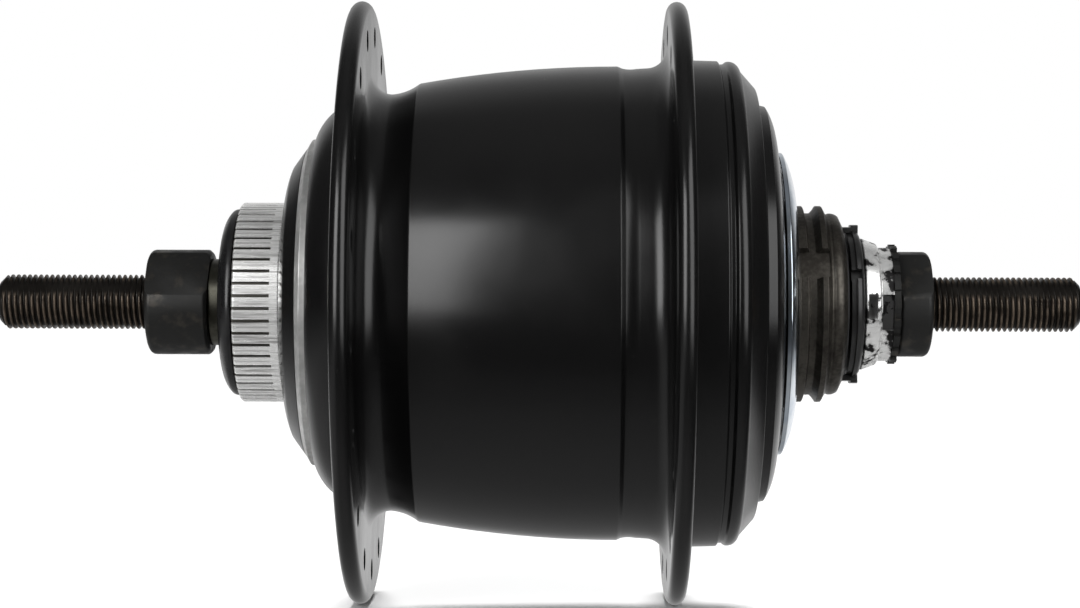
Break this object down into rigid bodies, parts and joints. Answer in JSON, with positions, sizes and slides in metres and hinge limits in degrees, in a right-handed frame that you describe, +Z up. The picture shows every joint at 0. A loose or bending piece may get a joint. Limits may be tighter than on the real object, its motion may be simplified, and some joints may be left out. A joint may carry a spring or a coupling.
{
  "type": "internal gear hub",
  "caption": "Internally geared rear bicycle hub: closed shell with spoke flanges, brake spline, sprocket driver, shift ring and threaded axle around a planetary train.",
  "frame": {"origin": "middle of the axle, half way between the outer faces of the lock nuts", "axes": "+X along the axle towards the sprocket side, +Z up, +Y away from the viewer of the picture"},
  "size_m": [0.187, 0.1042, 0.1041],
  "materials": {
    "axle_steel": "dark oxide finish with rolled threads",
    "black_nut": "black oxide, satin",
    "dark_steel": "dark oiled steel",
    "black_cap": "semi-gloss black",
    "bright_steel": "ground bright steel",
    "gear_steel": "hardened steel, oiled",
    "black_paint": "satin black paint",
    "plated_steel": "bright plated steel",
    "driver_steel": "dark phosphated steel",
    "ring_steel": "grey satin steel",
    "zinc": "blue-bright zinc plate",
    "seal_rubber": "matt black",
    "cage_plastic": "moulded",
    "cage_steel": "pressed steel",
    "black_plastic": "moulded black, semi-gloss"
  },
  "bodies": {
    "axle_set": {"axle": "axle_steel", "left_lock_nut": "black_nut", "right_lock_nut": "black_nut", "left_cone": "dark_steel", "left_dust_cap": "black_cap", "left_spacer": "bright_steel", "right_cone": "bright_steel", "right_tooth_washer": "black_nut", "first_locked_sun": "gear_steel", "second_locked_sun": "gear_steel", "sun_pawls": "gear_steel", "thrust_washers": "bright_steel", "carrier_circlip": "dark_steel", "return_spring": "bright_steel"},
    "shell": {"hub_shell": "black_paint", "brake_spline_ring": "plated_steel", "left_end_ring": "ring_steel", "left_ball_cup": "gear_steel", "clutch_cup": "gear_steel", "right_cover_ring": "black_paint"},
    "driver_set": {"driver": "driver_steel", "driver_dust_cap": "zinc", "driver_seal": "seal_rubber", "first_ring_gear": "gear_steel", "ring_snap_ring": "dark_steel"},
    "carrier": {"carrier_frame": "gear_steel", "carrier_left_plate": "gear_steel", "carrier_screws": "dark_steel", "first_planet_pins": "bright_steel", "second_planet_pins": "bright_steel"},
    "first_planet_a": {"first_planet_1": "gear_steel"},
    "first_planet_b": {"first_planet_2": "gear_steel"},
    "first_planet_c": {"first_planet_3": "gear_steel"},
    "second_planet_a": {"second_planet_1": "gear_steel"},
    "second_planet_b": {"second_planet_2": "gear_steel"},
    "second_planet_c": {"second_planet_3": "gear_steel"},
    "output_ring": {"second_ring_gear": "gear_steel", "clutch_cam": "gear_steel", "clutch_rollers": "bright_steel", "roller_cage": "cage_plastic"},
    "large_sun": {"large_free_sun": "gear_steel"},
    "small_sun": {"small_free_sun": "gear_steel"},
    "left_bearing": {"left_balls": "bright_steel", "left_ball_cage": "cage_steel"},
    "right_bearing": {"right_balls": "bright_steel", "right_ball_cage": "cage_steel"},
    "driver_bearing": {"driver_balls": "bright_steel", "driver_ball_cage": "cage_steel"},
    "shifter": {"shift_ring": "black_plastic", "shift_key": "dark_steel", "cam_tube": "gear_steel"}
  },
  "joints": [
    {"name": "shell_spin", "type": "hinge", "parent": "axle_set", "child": "shell", "pos_m": [0, 0, 0], "axis": [1, 0, 0], "continuous": true},
    {"name": "driver_spin", "type": "hinge", "parent": "axle_set", "child": "driver_set", "pos_m": [0, 0, 0], "axis": [1, 0, 0], "continuous": true},
    {"name": "carrier_spin", "type": "hinge", "parent": "axle_set", "child": "carrier", "pos_m": [0, 0, 0], "axis": [1, 0, 0], "continuous": true},
    {"name": "output_ring_spin", "type": "hinge", "parent": "axle_set", "child": "output_ring", "pos_m": [0, 0, 0], "axis": [1, 0, 0], "continuous": true},
    {"name": "large_sun_spin", "type": "hinge", "parent": "axle_set", "child": "large_sun", "pos_m": [0, 0, 0], "axis": [1, 0, 0], "continuous": true},
    {"name": "small_sun_spin", "type": "hinge", "parent": "axle_set", "child": "small_sun", "pos_m": [0, 0, 0], "axis": [1, 0, 0], "continuous": true},
    {"name": "left_bearing_spin", "type": "hinge", "parent": "axle_set", "child": "left_bearing", "pos_m": [0, 0, 0], "axis": [1, 0, 0], "continuous": true},
    {"name": "right_bearing_spin", "type": "hinge", "parent": "axle_set", "child": "right_bearing", "pos_m": [0, 0, 0], "axis": [1, 0, 0], "continuous": true},
    {"name": "driver_bearing_spin", "type": "hinge", "parent": "axle_set", "child": "driver_bearing", "pos_m": [0, 0, 0], "axis": [1, 0, 0], "continuous": true},
    {"name": "first_planet_a_spin", "type": "hinge", "parent": "carrier", "child": "first_planet_a", "pos_m": [0, 0.00893, 0.01546], "axis": [1, 0, 0], "continuous": true},
    {"name": "first_planet_b_spin", "type": "hinge", "parent": "carrier", "child": "first_planet_b", "pos_m": [0, -0.01785, 0], "axis": [1, 0, 0], "continuous": true},
    {"name": "first_planet_c_spin", "type": "hinge", "parent": "carrier", "child": "first_planet_c", "pos_m": [0, 0.00893, -0.01546], "axis": [1, 0, 0], "continuous": true},
    {"name": "second_planet_a_spin", "type": "hinge", "parent": "carrier", "child": "second_planet_a", "pos_m": [0, 0.0204, 0], "axis": [1, 0, 0], "continuous": true},
    {"name": "second_planet_b_spin", "type": "hinge", "parent": "carrier", "child": "second_planet_b", "pos_m": [0, -0.0102, 0.01767], "axis": [1, 0, 0], "continuous": true},
    {"name": "second_planet_c_spin", "type": "hinge", "parent": "carrier", "child": "second_planet_c", "pos_m": [0, -0.0102, -0.01767], "axis": [1, 0, 0], "continuous": true},
    {"name": "shift_turn", "type": "hinge", "parent": "axle_set", "child": "shifter", "pos_m": [0, 0, 0], "axis": [1, 0, 0], "range_deg": [0, 157], "stiffness_Nm_per_rad": 0.04, "springref_deg": -34.38}
  ],
  "couplings": [
    {"joint": "driver_spin", "follows": "shell_spin", "ratio": 1.1932},
    {"joint": "carrier_spin", "follows": "shell_spin", "ratio": 0.625},
    {"joint": "output_ring_spin", "follows": "shell_spin", "ratio": 1},
    {"joint": "large_sun_spin", "follows": "shell_spin", "ratio": -0.2},
    {"joint": "small_sun_spin", "follows": "shell_spin", "ratio": -1.1429},
    {"joint": "left_bearing_spin", "follows": "shell_spin", "ratio": 0.58458},
    {"joint": "right_bearing_spin", "follows": "shell_spin", "ratio": 0.6975},
    {"joint": "driver_bearing_spin", "follows": "shell_spin", "ratio": 1.0894},
    {"joint": "first_planet_a_spin", "follows": "shell_spin", "ratio": 1.5625},
    {"joint": "first_planet_b_spin", "follows": "shell_spin", "ratio": 1.5625},
    {"joint": "first_planet_c_spin", "follows": "shell_spin", "ratio": 1.5625},
    {"joint": "second_planet_a_spin", "follows": "shell_spin", "ratio": 1.375},
    {"joint": "second_planet_b_spin", "follows": "shell_spin", "ratio": 1.375},
    {"joint": "second_planet_c_spin", "follows": "shell_spin", "ratio": 1.375}
  ]
}
